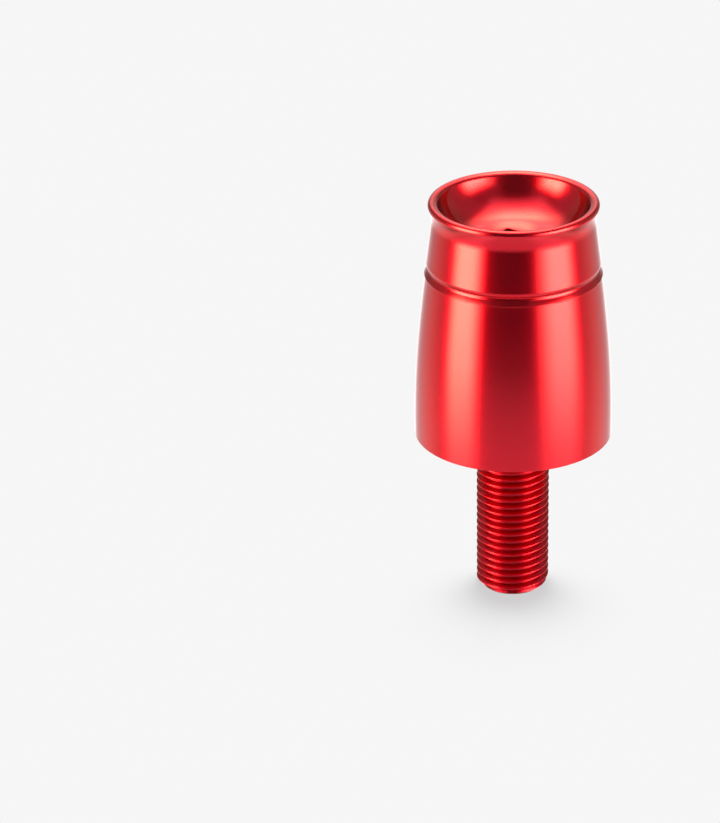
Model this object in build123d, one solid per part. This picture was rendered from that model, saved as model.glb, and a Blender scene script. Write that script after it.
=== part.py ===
from build123d import *
from math import cos, radians, sin, sqrt, tan
import os

# A weight for the end of a motorcycle handlebar, turned from one bar of aluminium.
# Its stud screws into the bar, its flat shoulder seats on the bar's end, and a hexagon
# key reaches the socket in the dished head.
# Millimetres, +Z up along the axis of turning. It stands on its stud: the origin is the
# centre of the stud's end face.

# Stud
stud_diameter = 12.0
stud_length = 28.0
stud_chamfer = 1.0
relief_diameter = 10.4
relief_width = 2.0

# Skirt, the barrel-shaped lower body. Heights are taken from the shoulder. Its outline
# leans in quicker up to the hip and easier above it. The hip lies at these shares of the
# lean and of the height between the land and the skirt's top.
skirt_diameter = 32.4
skirt_land = 2.3
skirt_top_diameter = 28.64
skirt_height = 28.05
hip_lean_share = 0.4
hip_height_share = 0.61
skirt_edge_break = 0.2

# Bead and groove between skirt and neck
bead_rise = 0.2
bead_height = 0.12
bead_slope = 40.0
groove_depth = 0.72
groove_floor = 0.42
groove_top_rise = 0.43
fine_edge_break = 0.08

# Neck, a slim cone that narrows towards the lip
neck_step = 0.31
neck_taper = 7.5
cove_round = 4.8

# Lip and dish of the head. The lip stands in from the skirt's top, the land is inside it.
body_height = 40.63
lip_step = 0.46
lip_round = 0.68
land_slope = 19.0
land_width = 0.88
dish_depth = 6.24
bowl_round = 8.5
dish_floor_diameter = 12.1
countersink_slope = 26.0

# Hexagon socket and the drilled hole that the broach ran into
hex_across_flats = 8.0
hex_depth = 12.0
pilot_diameter = 7.8
pilot_beyond_hex = 2.0
drill_point = 118.0


def arc_through(start, centre, radius, end):
    """The shorter arc round centre from start to end, both on the circle."""
    mid_x = (start[0] + end[0]) / 2 - centre[0]
    mid_z = (start[1] + end[1]) / 2 - centre[1]
    scale = radius / sqrt(mid_x**2 + mid_z**2)
    middle = (centre[0] + mid_x * scale, centre[1] + mid_z * scale)
    return ThreePointArc(start, middle, end)


def skirt_outline(shoulder_z):
    """Shoulder edge, straight land and the two long arcs that lean in to the bead."""
    foot = (skirt_diameter / 2, shoulder_z)
    land_top = (skirt_diameter / 2, shoulder_z + skirt_land)
    top = (skirt_top_diameter / 2, shoulder_z + skirt_height)
    hip = (
        land_top[0] + hip_lean_share * (top[0] - land_top[0]),
        land_top[1] + hip_height_share * (top[1] - land_top[1]),
    )
    below_hip = TangentArc(land_top, hip, tangent=(0, 1))
    above_hip = TangentArc(hip, top, tangent=below_hip % 1)
    return foot, top, [Line(foot, land_top), below_hip, above_hip]


def groove_corners(skirt_top):
    """Corners of the bead's nose, the groove's floor and the edge of the neck."""
    nose = (skirt_top[0] + bead_rise, skirt_top[1] + bead_height)
    floor_r = nose[0] - groove_depth
    slope_height = groove_depth / tan(radians(bead_slope))
    floor_low = (floor_r, nose[1] + slope_height)
    floor_high = (floor_r, floor_low[1] + groove_floor)
    neck_edge = (nose[0] - neck_step, floor_high[1] + groove_top_rise)
    return nose, floor_low, floor_high, neck_edge


def cove_points(neck_edge, lip_centre):
    """Centre and ends of the arc that is tangent to the neck's cone and to the lip."""
    along = (-sin(radians(neck_taper)), cos(radians(neck_taper)))
    outward = (cos(radians(neck_taper)), sin(radians(neck_taper)))
    to_lip = (lip_centre[0] - neck_edge[0], lip_centre[1] - neck_edge[1])
    lip_along = to_lip[0] * along[0] + to_lip[1] * along[1]
    lip_out = to_lip[0] * outward[0] + to_lip[1] * outward[1]
    reach = cove_round + lip_round
    run = lip_along - sqrt(reach**2 - (cove_round - lip_out) ** 2)
    on_neck = (neck_edge[0] + run * along[0], neck_edge[1] + run * along[1])
    centre = (
        on_neck[0] + cove_round * outward[0],
        on_neck[1] + cove_round * outward[1],
    )
    share = lip_round / reach
    on_lip = (
        lip_centre[0] + share * (centre[0] - lip_centre[0]),
        lip_centre[1] + share * (centre[1] - lip_centre[1]),
    )
    return centre, on_neck, on_lip


def land_points(lip_centre):
    """Ends of the land that slopes from the lip's round crest in to the mouth of the dish."""
    slope = radians(land_slope)
    outer = (
        lip_centre[0] - lip_round * sin(slope),
        lip_centre[1] + lip_round * cos(slope),
    )
    mouth_r = lip_centre[0] - land_width
    mouth = (mouth_r, outer[1] - (outer[0] - mouth_r) * tan(slope))
    return outer, mouth


def bowl_points(mouth, floor_z):
    """Centre of the bowl's arc, which is level at the floor, and its end at the countersink."""
    centre_z = floor_z + bowl_round
    centre_r = mouth[0] - sqrt(bowl_round**2 - (mouth[1] - centre_z) ** 2)
    edge_r = dish_floor_diameter / 2
    edge_z = centre_z - sqrt(bowl_round**2 - (edge_r - centre_r) ** 2)
    return (centre_r, centre_z), (edge_r, edge_z)


def broken(face, corner, length):
    """The face with the corner nearest to a point cut off by a small chamfer."""
    vertex = face.vertices().sort_by_distance(Plane.XZ.from_local_coords((*corner, 0)))[0]
    return chamfer(vertex, length)


def turned_blank():
    """The whole turned form, from the stud's end to the lip, as one revolved half section."""
    shoulder_z = stud_length
    top_z = shoulder_z + body_height
    stud_r = stud_diameter / 2
    relief_r = relief_diameter / 2
    relief_z = shoulder_z - relief_width

    foot, skirt_top, skirt_lines = skirt_outline(shoulder_z)
    nose, floor_low, floor_high, neck_edge = groove_corners(skirt_top)
    lip_centre = (skirt_top[0] - lip_step - lip_round, top_z - lip_round)
    cove_centre, on_neck, cove_end = cove_points(neck_edge, lip_centre)
    land_start, mouth = land_points(lip_centre)
    bowl_centre, dish_edge = bowl_points(mouth, top_z - dish_depth)
    cone_tip = (0, dish_edge[1] - dish_edge[0] * tan(radians(countersink_slope)))

    stud_lines = Polyline(
        (0, 0),
        (stud_r - stud_chamfer, 0),
        (stud_r, stud_chamfer),
        (stud_r, relief_z - (stud_r - relief_r)),
        (relief_r, relief_z),
        (relief_r, shoulder_z),
        foot,
    )
    outline = [
        stud_lines,
        *skirt_lines,
        Polyline(skirt_top, nose, floor_low, floor_high, neck_edge, on_neck),
        arc_through(on_neck, cove_centre, cove_round, cove_end),
        arc_through(cove_end, lip_centre, lip_round, land_start),
        Line(land_start, mouth),
        arc_through(mouth, bowl_centre, bowl_round, dish_edge),
        Line(dish_edge, cone_tip),
        Line(cone_tip, (0, 0)),
    ]
    section = Plane.XZ * make_face(outline)
    section = broken(section, foot, skirt_edge_break)
    section = broken(section, nose, fine_edge_break)
    section = broken(section, neck_edge, fine_edge_break)
    return revolve(section, Axis.Z), dish_edge[1]


def socket(mouth_z):
    """The hexagon and the drilled hole beneath it, as the solid that is cut away."""
    corner_r = hex_across_flats / 2 / cos(radians(30))
    hexagon = RegularPolygon(corner_r, 6, rotation=30)
    hex_floor = mouth_z - hex_depth
    broached = extrude(Pos(0, 0, hex_floor) * hexagon, hex_depth)
    pilot_r = pilot_diameter / 2
    pilot_floor = hex_floor - pilot_beyond_hex
    point_depth = pilot_r / tan(radians(drill_point / 2))
    drilled = make_face(
        Polyline(
            (0, mouth_z),
            (pilot_r, mouth_z),
            (pilot_r, pilot_floor),
            (0, pilot_floor - point_depth),
            close=True,
        )
    )
    return broached + revolve(Plane.XZ * drilled, Axis.Z)


blank, dish_floor_z = turned_blank()
bar_end_weight = blank - socket(dish_floor_z)

os.makedirs("parts", exist_ok=True)
export_step(bar_end_weight, "parts/bar_end_weight.step")
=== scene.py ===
from math import atan2, cos, degrees, pi, radians, sin, sqrt, tan

import bmesh
import bpy
from mathutils import Matrix, Vector


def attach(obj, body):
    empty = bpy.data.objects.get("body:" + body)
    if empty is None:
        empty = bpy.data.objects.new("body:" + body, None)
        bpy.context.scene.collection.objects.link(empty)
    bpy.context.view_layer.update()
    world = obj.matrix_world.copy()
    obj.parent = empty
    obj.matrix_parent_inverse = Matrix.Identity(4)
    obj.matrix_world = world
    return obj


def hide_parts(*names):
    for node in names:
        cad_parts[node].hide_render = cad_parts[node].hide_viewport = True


# A bar end weight turned from one bar of aluminium and anodised red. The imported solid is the
# frame. The finished piece has its outline, with the thread cut on the stud and every edge
# broken as on the real part. Sizes are millimetres in the frame's axes, +Z up along the stud.

MM = 0.001

# Stud and thread, M12 x 1.25, right-handed
STUD_RADIUS = 6.0
STUD_END_RADIUS = 5.0
THREAD_PITCH = 1.25
CREST_FLAT = 0.18
CREST_BREAK = 0.05
FLANK_ANGLE = 30.0
ROOT_ROUND = 0.14
THREAD_START = 0.594
RELIEF_RADIUS = 5.2
RELIEF_FOOT = 26.0
RELIEF_STEP = 0.05
RELIEF_ROUND = 0.2

# Skirt, heights from the stud's end
SHOULDER_Z = 28.0
SKIRT_RADIUS = 16.2
SKIRT_LAND_Z = 30.3
HIP = (15.448, 46.0075)
SKIRT_TOP = (14.32, 56.05)
FOOT_ROUND = 0.14

# Bead, groove and neck
BEAD_NOSE = (14.52, 56.17)
BEAD_ROUND = 0.13
GROOVE_LOW = (13.84, 57.0)
GROOVE_HIGH = (13.76, 57.448)
GROOVE_ROUND = 0.2
UNDERCUT_ROUND = 0.12
NECK_EDGE = (14.21, 57.878)
NECK_ROUND = 0.45
NECK_TAPER = 7.5
COVE_ROUND = 4.8

# Lip and dish
LIP_CENTRE = (13.18, 67.95)
LIP_ROUND = 0.68
LAND_SLOPE = 19.0
MOUTH_RADIUS = 12.3
MOUTH_ROUND = 0.35
BOWL_ROUND = 8.5
BOWL_LOW_Z = 62.39
DISH_FLOOR_Z = 62.6
FLOOR_RADIUS = 6.05
COUNTERSINK_SLOPE = 22.0

# Hexagon socket, two corners along Y, and the drilled hole beneath it
HEX_APOTHEM = 4.0
HEX_FLOOR_Z = 50.6
HEX_MOUTH_BREAK = 0.07
SOCKET_RIM_RADIUS = 4.95
PILOT_RADIUS = 3.9
PILOT_FLOOR_Z = 48.6
DRILL_POINT = 118.0
DRILL_CORE = 0.04

# Mesh: columns round the axis, which the hexagon's corners and flats share, the degrees of one
# step along a curve, steps in a broken corner, the angle from which an edge is shaded sharp, and
# the reach of welds and of a search
COLUMNS = 192
BELOW_HIP_STEP = 0.4
ABOVE_HIP_STEP = 0.3
CURVE_STEP = 2.5
LIP_STEP = 7.0
CORNER_STEPS = 3
HEX_MOUTH_STEPS = 2
SHARP_FROM = 38.0
WELD = 0.002
RING_SLACK = 0.01

# Camera, from the fit to the photograph's outline. It stands to the weight's front, which is
# turned off the frame's -Y so that the hexagon's corner points the right way.
FRONT_TURN = -11.9
CAMERA_RISE = 24.382
CAMERA_DISTANCE = 600.0
CAMERA_AIM_Z = 38.0
CAMERA_TILT = -0.587
CAMERA_YAW = 2.395
CAMERA_ROLL = 0.19
LENS = 160.0
SENSOR = 36.0
CLIP_NEAR = 0.05
CLIP_FAR = 50.0

# Finish: the dye where it is deep and light, which varies at random, and at the edge; on the thread
# a darker dye and a weaker oxide sheen, which are painted shade from the skirt over the stud; the
# metal under it, which the thread's cutter leaves duller, the oxide over it and the marks of the
# tool's feed
DYE_DEEP = (0.58, 0.001, 0.013, 1)
DYE_LIGHT = (0.64, 0.003, 0.018, 1)
THREAD_PAINTED_SHADE_DYE = (0.5, 0.001, 0.015, 1)
DYE_EDGE = (0.5, 0.05, 0.06, 1)
CLOUD_SCALE = 160.0
METAL_ROUGHNESS = 0.22
THREAD_ROUGHNESS = 0.3
THREAD_PAINTED_SHADE_OXIDE = 0.65
OXIDE_ROUGHNESS = 0.08
OXIDE_IOR = 1.32
FEED_SCALE = 4200.0
FEED_DEPTH = 0.001
FEED_ROUGHNESS = 0.06

# Stage: the floor, the reach and lean of its shadow, how open the sky is where the shadow is
# deepest and where it ends, and the backdrop
FLOOR_HALF = 3.0
FLOOR_COLOUR = (0.92, 0.92, 0.92, 1)
SHADOW_REACH = 60.0
SHADOW_SAMPLES = 24
SHADOW_LEAN = (0.127, 0.602, 0.788)
SHADOW_DEEPEST = 0.44
SHADOW_END = 0.81
SHADOW_COLOUR = (0.63, 0.615, 0.618, 1)
BACKDROP_COLOUR = (0.921, 0.921, 0.921, 1)

# Studio: the colours of its light, and how bright each part is, where 1 is white paper
WHITE = (1, 1, 1, 1)
WARM_LAMP = (1, 0.95, 0.44, 1)
PLAIN_LAMP = (1, 0.97, 0.54, 1)
LEFT_BOX_LEVEL = 20.0
RIGHT_BOX_LEVEL = 16.0
TOP_LIGHT_LEVEL = 11.5
REAR_LIGHT_LEVEL = 1.45
ROOM_LEVEL = 0.34
GROUND_LEVEL = 0.6
GLOW_LEVEL = 0.45
BACKDROP_LEVEL = 0.45
BESIDE_LEVEL = 0.12
LOW_BEHIND_LEVEL = 0.3
GAP_DEPTH = 0.72
GAP_LIFTED = 0.17
UNDER_DEPTH = 0.7
TWICE_DIMMED = 0.93
TWICE_FILLED = 0.5
DOME_LEVEL = 0.8
DOME_RISE = 0.3

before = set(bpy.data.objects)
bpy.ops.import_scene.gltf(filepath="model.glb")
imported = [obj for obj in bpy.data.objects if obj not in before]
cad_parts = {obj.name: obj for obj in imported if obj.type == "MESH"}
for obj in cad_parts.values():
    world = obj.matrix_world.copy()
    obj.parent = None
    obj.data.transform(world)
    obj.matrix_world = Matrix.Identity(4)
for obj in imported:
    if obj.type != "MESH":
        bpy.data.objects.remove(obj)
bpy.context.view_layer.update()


class ToolPath:
    """Half section in the XZ plane, drawn as a lathe tool runs, each move from the last point."""

    def __init__(self, bm, r, z):
        self.bm = bm
        self.tip = bm.verts.new((r, 0, z))
        self.heading = Vector((0, 1))
        self.corners = []

    def line(self, r, z, broken=None):
        """Runs straight to a radius and height. broken rounds off the corner there."""
        last = self.tip.co.copy()
        made = bmesh.ops.extrude_vert_indiv(self.bm, verts=[self.tip])
        self.tip = made["verts"][0]
        self.tip.co = (r, 0, z)
        self.heading = Vector((r - last.x, z - last.z)).normalized()
        if broken:
            self.corners.append((self.tip, broken))

    def arc(self, centre, end, step):
        """Turns round a centre to the direction of end, in steps of about that many degrees."""
        start = Vector((self.tip.co.x - centre[0], self.tip.co.z - centre[1]))
        reach = Vector((end[0] - centre[0], end[1] - centre[1]))
        turn = start.angle_signed(reach)
        made = bmesh.ops.spin(
            self.bm,
            geom=[self.tip],
            cent=(centre[0], 0, centre[1]),
            axis=(0, 1, 0),
            angle=turn,
            steps=max(2, round(abs(degrees(turn)) / step)),
        )
        self.tip = made["geom_last"][0]
        side = 1 if turn > 0 else -1
        self.heading = Vector((reach.y, -reach.x)).normalized() * side

    def sweep(self, r, z, step):
        """Curves to a radius and height with no kink at the start."""
        chord = Vector((r - self.tip.co.x, z - self.tip.co.z))
        inward = Vector((self.heading.y, -self.heading.x))
        reach = chord.length_squared / (2 * chord.dot(inward))
        centre = (self.tip.co.x + inward.x * reach, self.tip.co.z + inward.y * reach)
        self.arc(centre, (r, z), step)

    def finish(self):
        """Rounds the corners that were marked."""
        for corner, size in self.corners:
            bmesh.ops.bevel(
                self.bm,
                geom=[corner],
                offset=size,
                offset_type="OFFSET",
                segments=CORNER_STEPS,
                profile=0.5,
                affect="VERTICES",
                material=-1,
            )


def cove_tangents():
    """Centre and ends of the arc that leaves the neck's cone and runs into the lip with no kink."""
    along = Vector((-sin(radians(NECK_TAPER)), cos(radians(NECK_TAPER))))
    outward = Vector((cos(radians(NECK_TAPER)), sin(radians(NECK_TAPER))))
    edge, lip = Vector(NECK_EDGE), Vector(LIP_CENTRE)
    reach = COVE_ROUND + LIP_ROUND
    aside = COVE_ROUND - (lip - edge).dot(outward)
    start = edge + along * ((lip - edge).dot(along) - sqrt(reach**2 - aside**2))
    centre = start + outward * COVE_ROUND
    return centre, start, lip + (centre - lip) * (LIP_ROUND / reach)


def land_ends():
    """Where the land leaves the lip's round crest, and the mouth of the dish where it ends."""
    slope = radians(LAND_SLOPE)
    crest = Vector(LIP_CENTRE) + LIP_ROUND * Vector((-sin(slope), cos(slope)))
    mouth = Vector((MOUTH_RADIUS, crest.y - (crest.x - MOUTH_RADIUS) * tan(slope)))
    return crest, mouth


def bowl_centre(mouth):
    """Centre of the bowl's arc, which runs from the mouth down to the level of the dish's floor."""
    z = BOWL_LOW_Z + BOWL_ROUND
    return Vector((mouth.x - sqrt(BOWL_ROUND**2 - (mouth.y - z) ** 2), z))


def countersink_z(r):
    """Height of the cone round the hexagon at a radius."""
    return DISH_FLOOR_Z - (FLOOR_RADIUS - r) * tan(radians(COUNTERSINK_SLOPE))


def turn_body(bm):
    """Everything from the relief under the shoulder to the countersink, as one spun section."""
    tool = ToolPath(bm, RELIEF_RADIUS, RELIEF_FOOT + RELIEF_STEP)
    tool.line(RELIEF_RADIUS, SHOULDER_Z, broken=RELIEF_ROUND)
    tool.line(SKIRT_RADIUS, SHOULDER_Z, broken=FOOT_ROUND)
    tool.line(SKIRT_RADIUS, SKIRT_LAND_Z)
    tool.sweep(*HIP, BELOW_HIP_STEP)
    tool.sweep(*SKIRT_TOP, ABOVE_HIP_STEP)
    tool.line(*BEAD_NOSE, broken=BEAD_ROUND)
    tool.line(*GROOVE_LOW, broken=GROOVE_ROUND)
    tool.line(*GROOVE_HIGH, broken=UNDERCUT_ROUND)
    tool.line(*NECK_EDGE, broken=NECK_ROUND)
    cove, cove_start, cove_end = cove_tangents()
    tool.line(*cove_start)
    tool.arc(cove, cove_end, CURVE_STEP)
    crest, mouth = land_ends()
    tool.arc(LIP_CENTRE, crest, LIP_STEP)
    tool.line(*mouth, broken=MOUTH_ROUND)
    bowl = bowl_centre(mouth)
    floor_edge = (FLOOR_RADIUS, bowl.y - sqrt(BOWL_ROUND**2 - (bowl.x - FLOOR_RADIUS) ** 2))
    tool.arc(bowl, floor_edge, CURVE_STEP)
    tool.line(SOCKET_RIM_RADIUS, countersink_z(SOCKET_RIM_RADIUS))
    tool.finish()
    spin_closed(bm)


def spin_closed(bm):
    """Spins what has been drawn in bm once round the Z axis."""
    bmesh.ops.spin(
        bm,
        geom=bm.verts[:] + bm.edges[:],
        cent=(0, 0, 0),
        axis=(0, 0, 1),
        angle=2 * pi,
        steps=COLUMNS,
        use_merge=True,
    )


def ring_at(bm, z, radius):
    """Edges of the open ring at a height and radius."""

    def on_ring(v):
        return abs(v.co.z - z) < RING_SLACK and abs(v.co.xy.length - radius) < RING_SLACK

    return [e for e in bm.edges if e.is_boundary and all(map(on_ring, e.verts))]


def next_ring(bm, ring, place):
    """Draws a ring of edges on to where place puts each of its points, and returns the new ring."""
    made = bmesh.ops.extrude_edge_only(bm, edges=ring)["geom"]
    for v in made:
        if isinstance(v, bmesh.types.BMVert):
            v.co = place(v.co)
    return [e for e in made if isinstance(e, bmesh.types.BMEdge) and e.is_boundary]


def on_hexagon(co):
    """The point of the countersink's cone that is on the hexagon, in the direction of co."""
    direction = degrees(atan2(co.y, co.x))
    off_flat = (direction + 30) % 60 - 30
    r = HEX_APOTHEM / cos(radians(off_flat))
    return Vector((*(co.xy.normalized() * r), countersink_z(r)))


def broach_socket(bm):
    """Hexagon through the countersink, the flat that its broach left and the drilled hole."""
    rim = ring_at(bm, countersink_z(SOCKET_RIM_RADIUS), SOCKET_RIM_RADIUS)
    mouth = next_ring(bm, rim, on_hexagon)
    mouth_verts = {v for e in mouth for v in e.verts}
    floor = next_ring(bm, mouth, lambda co: Vector((*co.xy, HEX_FLOOR_Z)))
    pilot = next_ring(
        bm, floor, lambda co: Vector((*(co.xy.normalized() * PILOT_RADIUS), HEX_FLOOR_Z))
    )
    pilot_floor = next_ring(bm, pilot, lambda co: Vector((*co.xy, PILOT_FLOOR_Z)))
    point = Vector((0, 0, PILOT_FLOOR_Z - PILOT_RADIUS / tan(radians(DRILL_POINT / 2))))
    tip = next_ring(bm, pilot_floor, lambda co: co * DRILL_CORE + point * (1 - DRILL_CORE))
    bmesh.ops.edgeloop_fill(bm, edges=tip)
    rim_edges = [e for e in bm.edges if all(v in mouth_verts for v in e.verts)]
    bmesh.ops.bevel(
        bm,
        geom=rim_edges,
        offset=HEX_MOUTH_BREAK,
        offset_type="OFFSET",
        segments=HEX_MOUTH_STEPS,
        profile=0.5,
        affect="EDGES",
        material=-1,
    )


def cut_thread(bm):
    """The threaded stud: a turn of thread, stacked from below the end and cut to length."""
    half_crest, half_pitch = CREST_FLAT / 2, THREAD_PITCH / 2
    slope = tan(radians(FLANK_ANGLE))
    root = STUD_RADIUS - (half_pitch - half_crest) / slope
    below_end = 2
    z = THREAD_START - below_end * THREAD_PITCH
    tool = ToolPath(bm, STUD_RADIUS, z)
    tool.line(STUD_RADIUS, z + half_crest, broken=CREST_BREAK)
    tool.line(root, z + half_pitch, broken=ROOT_ROUND / slope)
    tool.line(STUD_RADIUS, z + THREAD_PITCH - half_crest, broken=CREST_BREAK)
    tool.line(STUD_RADIUS, z + THREAD_PITCH)
    tool.finish()
    bmesh.ops.spin(
        bm,
        geom=bm.verts[:] + bm.edges[:],
        cent=(0, 0, 0),
        axis=(0, 0, 1),
        dvec=(0, 0, THREAD_PITCH / COLUMNS),
        angle=2 * pi,
        steps=COLUMNS,
    )
    one_turn = bm.verts[:] + bm.edges[:] + bm.faces[:]
    for turn in range(1, round((RELIEF_FOOT - z) / THREAD_PITCH + 0.5)):
        copied = bmesh.ops.duplicate(bm, geom=one_turn)["geom"]
        verts = [part for part in copied if isinstance(part, bmesh.types.BMVert)]
        bmesh.ops.translate(bm, vec=(0, 0, THREAD_PITCH * turn), verts=verts)
    bmesh.ops.remove_doubles(bm, verts=bm.verts, dist=WELD)
    for z, side in ((0, -1), (RELIEF_FOOT, 1)):
        bmesh.ops.bisect_plane(
            bm,
            geom=bm.verts[:] + bm.edges[:] + bm.faces[:],
            dist=WELD,
            plane_co=(0, 0, z),
            plane_no=(0, 0, side),
            clear_outer=True,
        )
    for v in bm.verts:
        v.co.z = min(max(v.co.z, 0), RELIEF_FOOT)
        reach = v.co.xy.length
        limit = min(STUD_END_RADIUS + v.co.z, RELIEF_RADIUS + RELIEF_FOOT - v.co.z)
        if reach > limit:
            v.co.xy *= limit / reach
    bmesh.ops.edgeloop_fill(bm, edges=ring_at(bm, 0, STUD_END_RADIUS))


def turn_weight():
    """The whole weight as one closed mesh."""
    bm = bmesh.new()
    cut_thread(bm)
    body = bmesh.new()
    turn_body(body)
    broach_socket(body)
    join(bm, body)
    relief_rings = ring_at(bm, RELIEF_FOOT, RELIEF_RADIUS) + ring_at(
        bm, RELIEF_FOOT + RELIEF_STEP, RELIEF_RADIUS
    )
    bmesh.ops.bridge_loops(bm, edges=relief_rings)
    bmesh.ops.recalc_face_normals(bm, faces=bm.faces)
    for face in bm.faces:
        face.smooth = True
    for edge in bm.edges:
        edge.smooth = edge.calc_face_angle(0) < radians(SHARP_FROM)
    bmesh.ops.scale(bm, vec=(MM, MM, MM), verts=bm.verts)
    mesh = bpy.data.meshes.new("anodised_weight")
    bm.to_mesh(mesh)
    bm.free()
    piece = bpy.data.objects.new("anodised_weight", mesh)
    bpy.context.scene.collection.objects.link(piece)
    even = piece.modifiers.new("Even shading on the flats", "WEIGHTED_NORMAL")
    even.keep_sharp = True
    return piece


def join(bm, other):
    """Adds another bmesh to bm and frees it."""
    carrier = bpy.data.meshes.new("carrier")
    other.to_mesh(carrier)
    other.free()
    bm.from_mesh(carrier)
    bpy.data.meshes.remove(carrier)


def place_camera():
    """The photograph's camera: a long lens above the dish, the weight right of the middle."""
    camera = bpy.data.objects.new("camera", bpy.data.cameras.new("camera"))
    bpy.context.scene.collection.objects.link(camera)
    bpy.context.scene.camera = camera
    camera.data.sensor_width = SENSOR
    camera.data.lens = LENS
    camera.data.clip_start = CLIP_NEAR
    camera.data.clip_end = CLIP_FAR
    camera.matrix_world = (
        Matrix.Translation((0, 0, CAMERA_AIM_Z * MM))
        @ Matrix.Rotation(radians(FRONT_TURN), 4, "Z")
        @ Matrix.Rotation(radians(90 - CAMERA_RISE), 4, "X")
        @ Matrix.Translation((0, 0, CAMERA_DISTANCE * MM))
        @ Matrix.Rotation(radians(CAMERA_TILT), 4, "X")
        @ Matrix.Rotation(radians(CAMERA_YAW), 4, "Y")
        @ Matrix.Rotation(radians(CAMERA_ROLL), 4, "Z")
    )


class Value:
    """A socket's number, so that shader maths reads as an expression."""

    def __init__(self, net, socket):
        self.net = net
        self.socket = socket

    def maths(self, operation, *others):
        """One Math node on this value and others."""
        inputs = dict(enumerate((self, *others)))
        return self.net.node("ShaderNodeMath", {"operation": operation}, inputs)

    def __add__(self, other):
        return self.maths("ADD", other)

    def __sub__(self, other):
        return self.maths("SUBTRACT", other)

    def __rsub__(self, other):
        return self.maths("MULTIPLY_ADD", -1.0, other)

    def __mul__(self, other):
        return self.maths("MULTIPLY", other)

    __radd__ = __add__
    __rmul__ = __mul__

    def rise(self, low, high):
        """Eases from 0 at low to 1 at high."""
        return self.net.node(
            "ShaderNodeMapRange",
            {"interpolation_type": "SMOOTHSTEP"},
            {"Value": self, "From Min": low, "From Max": high},
        )

    def band(self, low, high, soft):
        """1 between low and high, easing off over soft beyond each."""
        return self.rise(low - soft, low) * (1 - self.rise(high, high + soft))


class Net:
    """One node tree, and the method that adds a node to it."""

    def __init__(self, tree):
        self.tree = tree
        tree.nodes.clear()

    def node(self, kind, settings=None, sockets=None, output=0):
        """Adds a node: its type, its settings, then values or links for its sockets."""
        made = self.tree.nodes.new(kind)
        for name, value in (settings or {}).items():
            setattr(made, name, value)
        for name, value in (sockets or {}).items():
            if isinstance(value, Value):
                self.tree.links.new(value.socket, made.inputs[name])
            else:
                made.inputs[name].default_value = value
        return Value(self, made.outputs[output]) if len(made.outputs) else None

    def split(self, vector):
        """The three parts of a vector."""
        return [
            self.node("ShaderNodeSeparateXYZ", sockets={0: vector}, output=i) for i in range(3)
        ]


def anodised_aluminium():
    """Deep red dye in a clear oxide layer over finely turned aluminium, and painted shade on the
    thread.
    """
    material = bpy.data.materials.new("red_anodised_aluminium")
    material.use_nodes = True
    net = Net(material.node_tree)
    place = net.node("ShaderNodeTexCoord", output=3)
    x, y, z = net.split(place)
    radius = (x * x + y * y).maths("SQRT")
    turned = net.node("ShaderNodeCombineXYZ", sockets={0: radius, 1: z})
    feed = net.node(
        "ShaderNodeTexNoise",
        {"noise_dimensions": "3D"},
        {"Vector": turned, "Scale": FEED_SCALE, "Detail": 2.0, "Roughness": 0.6},
    )
    cloud = net.node(
        "ShaderNodeTexNoise",
        {"noise_dimensions": "3D"},
        {"Vector": place, "Scale": CLOUD_SCALE, "Detail": 3.0, "Roughness": 0.5},
    )
    dye = net.node(
        "ShaderNodeMix",
        {"data_type": "RGBA"},
        {"Factor": cloud, "A": DYE_DEEP, "B": DYE_LIGHT},
        output="Result",
    )
    marks = net.node(
        "ShaderNodeBump",
        sockets={"Height": feed, "Strength": 1.0, "Distance": FEED_DEPTH * MM},
    )
    # The thread is rougher; its darker dye and weaker oxide sheen are painted shade from the skirt
    # above it.
    on_thread = 1 - z.rise((RELIEF_FOOT - 1) * MM, RELIEF_FOOT * MM)
    colour = net.node(
        "ShaderNodeMix",
        {"data_type": "RGBA"},
        {"Factor": on_thread, "A": dye, "B": THREAD_PAINTED_SHADE_DYE},
        output="Result",
    )
    rough = METAL_ROUGHNESS + on_thread * (THREAD_ROUGHNESS - METAL_ROUGHNESS)
    surface = net.node(
        "ShaderNodeBsdfPrincipled",
        sockets={
            "Base Color": colour,
            "Metallic": 1.0,
            "Roughness": rough + (feed - 0.5) * FEED_ROUGHNESS,
            "Specular Tint": DYE_EDGE,
            "Normal": marks,
            "Coat Weight": 1 - on_thread * (1 - THREAD_PAINTED_SHADE_OXIDE),
            "Coat Roughness": OXIDE_ROUGHNESS,
            "Coat IOR": OXIDE_IOR,
        },
    )
    net.node("ShaderNodeOutputMaterial", sockets={"Surface": surface})
    return material


def lay_floor():
    """Plain pale floor with the contact shadow. The metal mirrors the studio, not its plane."""
    bm = bmesh.new()
    bmesh.ops.create_grid(bm, x_segments=1, y_segments=1, size=FLOOR_HALF)
    mesh = bpy.data.meshes.new("floor")
    bm.to_mesh(mesh)
    bm.free()
    floor = bpy.data.objects.new("floor", mesh)
    bpy.context.scene.collection.objects.link(floor)
    floor.visible_glossy = False
    material = bpy.data.materials.new("pale_floor")
    material.use_nodes = True
    net = Net(material.node_tree)
    lean = net.node("ShaderNodeCombineXYZ", sockets=dict(enumerate(SHADOW_LEAN)))
    open_sky = net.node(
        "ShaderNodeAmbientOcclusion",
        {"samples": SHADOW_SAMPLES},
        {"Distance": SHADOW_REACH * MM, "Normal": lean},
        output="AO",
    )
    lit = open_sky.rise(SHADOW_DEEPEST, SHADOW_END)
    shade = net.node(
        "ShaderNodeMix",
        {"data_type": "RGBA"},
        {"Factor": lit, "A": SHADOW_COLOUR, "B": BACKDROP_COLOUR},
        output="Result",
    )
    seen = net.node("ShaderNodeEmission", sockets={"Color": shade, "Strength": 1.0})
    matt = net.node("ShaderNodeBsdfDiffuse", sockets={"Color": FLOOR_COLOUR})
    is_camera = net.node("ShaderNodeLightPath", output="Is Camera Ray")
    surface = net.node("ShaderNodeMixShader", sockets={0: is_camera, 1: matt, 2: seen})
    net.node("ShaderNodeOutputMaterial", sockets={"Surface": surface})
    mesh.materials.append(material)


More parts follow.
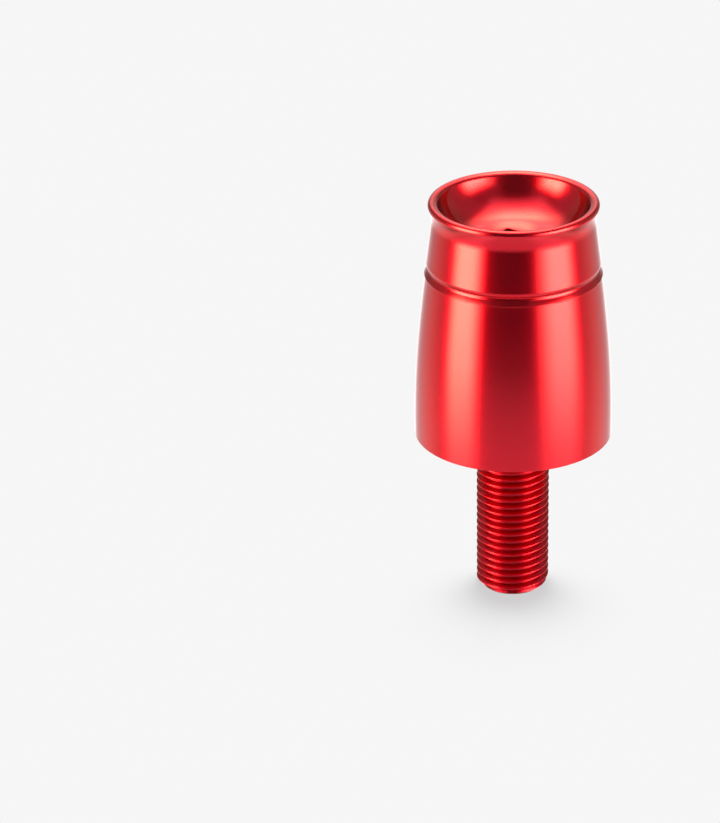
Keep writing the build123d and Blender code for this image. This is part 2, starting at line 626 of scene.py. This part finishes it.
def light_studio():
    """Soft studio, for the metal to mirror: boxes, a dark gap between them and a pale ground.

    Azimuth is in degrees from the camera's side round to its right, and lift in degrees from level.
    """
    world = bpy.data.worlds.new("studio")
    bpy.context.scene.world = world
    world.use_nodes = True
    world.cycles.sampling_method = "NONE"
    net = Net(world.node_tree)
    x, y, up = net.split(net.node("ShaderNodeTexCoord", output="Generated"))
    turn = radians(FRONT_TURN)
    forward = x * sin(turn) + y * -cos(turn)
    right = x * cos(turn) + y * sin(turn)
    back = forward * -1
    azimuth = right.maths("ARCTAN2", forward) * degrees(1)
    turned_away = azimuth.maths("ABSOLUTE")
    lift = up.maths("ARCSINE") * degrees(1)

    # The boxes and the light over the weight
    left_sides = azimuth.rise(-92, -70) * (1 - azimuth.rise(-58, -36))
    left_box = left_sides * lift.rise(-32, -3) * (1 - lift.rise(17, 42))
    right_sides = azimuth.rise(26, 56) * (1 - azimuth.rise(68, 92))
    right_box = right_sides * lift.rise(-31, 1) * (1 - lift.rise(12, 38))
    top_sides = right.rise(-0.6, -0.2) * (1 - right.rise(0.05, 0.5))
    far_back = back.rise(0.42, 0.72)
    top_light = top_sides * back.rise(-0.17, 0.5) * (1 - far_back) * up.rise(0.2, 0.6)
    rear_light = top_sides * far_back * up.rise(0.2, 0.6)

    # The room round it, darkest between the boxes and brightest low down and behind
    gap = azimuth.band(-32, 20, 8) * lift.band(-10, 60, 10)
    ground = 1 - lift.rise(-29, -8)
    glow = (left_sides + right_sides) * (1 - lift.rise(-30, -4)) * GLOW_LEVEL
    backdrop = turned_away.rise(148, 172) * BACKDROP_LEVEL
    beside = turned_away.band(95, 125, 15) * BESIDE_LEVEL
    low_behind = turned_away.rise(90, 115) * (1 - lift.rise(-14, 4)) * LOW_BEHIND_LEVEL
    ceiling = right.band(-0.5, 0.35, 0.2) * back.rise(-0.5, -0.1) * up.rise(0.4, 0.7)
    under = turned_away.rise(100, 125) * (1 - lift.rise(-50, -32))
    walls = ROOM_LEVEL + beside + low_behind + backdrop
    walls = walls * (1 - gap * (GAP_DEPTH - lift.rise(0, 30) * GAP_LIFTED))
    room = (walls + ground * GROUND_LEVEL + glow + ceiling) * (1 - under * UNDER_DEPTH)

    # What the metal mirrors twice, in the thread and the dish, holds less of the lamps
    twice = net.node("ShaderNodeLightPath", output="Glossy Depth").rise(1, 2)
    room = room * (1 + twice * TWICE_FILLED) + rear_light * REAR_LIGHT_LEVEL * (1 - twice)
    dimmed = 1 - twice * TWICE_DIMMED
    warm = (left_box * LEFT_BOX_LEVEL + top_light * TOP_LIGHT_LEVEL) * dimmed
    plain = right_box * RIGHT_BOX_LEVEL * dimmed

    around = net.node("ShaderNodeBackground", sockets={"Color": WHITE, "Strength": room})
    warm_lamps = net.node("ShaderNodeBackground", sockets={"Color": WARM_LAMP, "Strength": warm})
    plain_lamp = net.node("ShaderNodeBackground", sockets={"Color": PLAIN_LAMP, "Strength": plain})
    lamps = net.node("ShaderNodeAddShader", sockets={0: warm_lamps, 1: plain_lamp})
    mirrored = net.node("ShaderNodeAddShader", sockets={0: around, 1: lamps})
    sky = up * DOME_RISE + DOME_LEVEL
    dome = net.node("ShaderNodeBackground", sockets={"Color": WHITE, "Strength": sky})
    shown = net.node("ShaderNodeBackground", sockets={"Color": BACKDROP_COLOUR})
    is_diffuse = net.node("ShaderNodeLightPath", output="Is Diffuse Ray")
    is_camera = net.node("ShaderNodeLightPath", output="Is Camera Ray")
    lit = net.node("ShaderNodeMixShader", sockets={0: is_diffuse, 1: mirrored, 2: dome})
    seen = net.node("ShaderNodeMixShader", sockets={0: is_camera, 1: lit, 2: shown})
    net.node("ShaderNodeOutputWorld", sockets={"Surface": seen})


bpy.context.scene.view_settings.view_transform = "Standard"
weight = turn_weight()
weight.data.materials.append(anodised_aluminium())
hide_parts("bar_end_weight")
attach(weight, "root")
place_camera()
lay_floor()
light_studio()
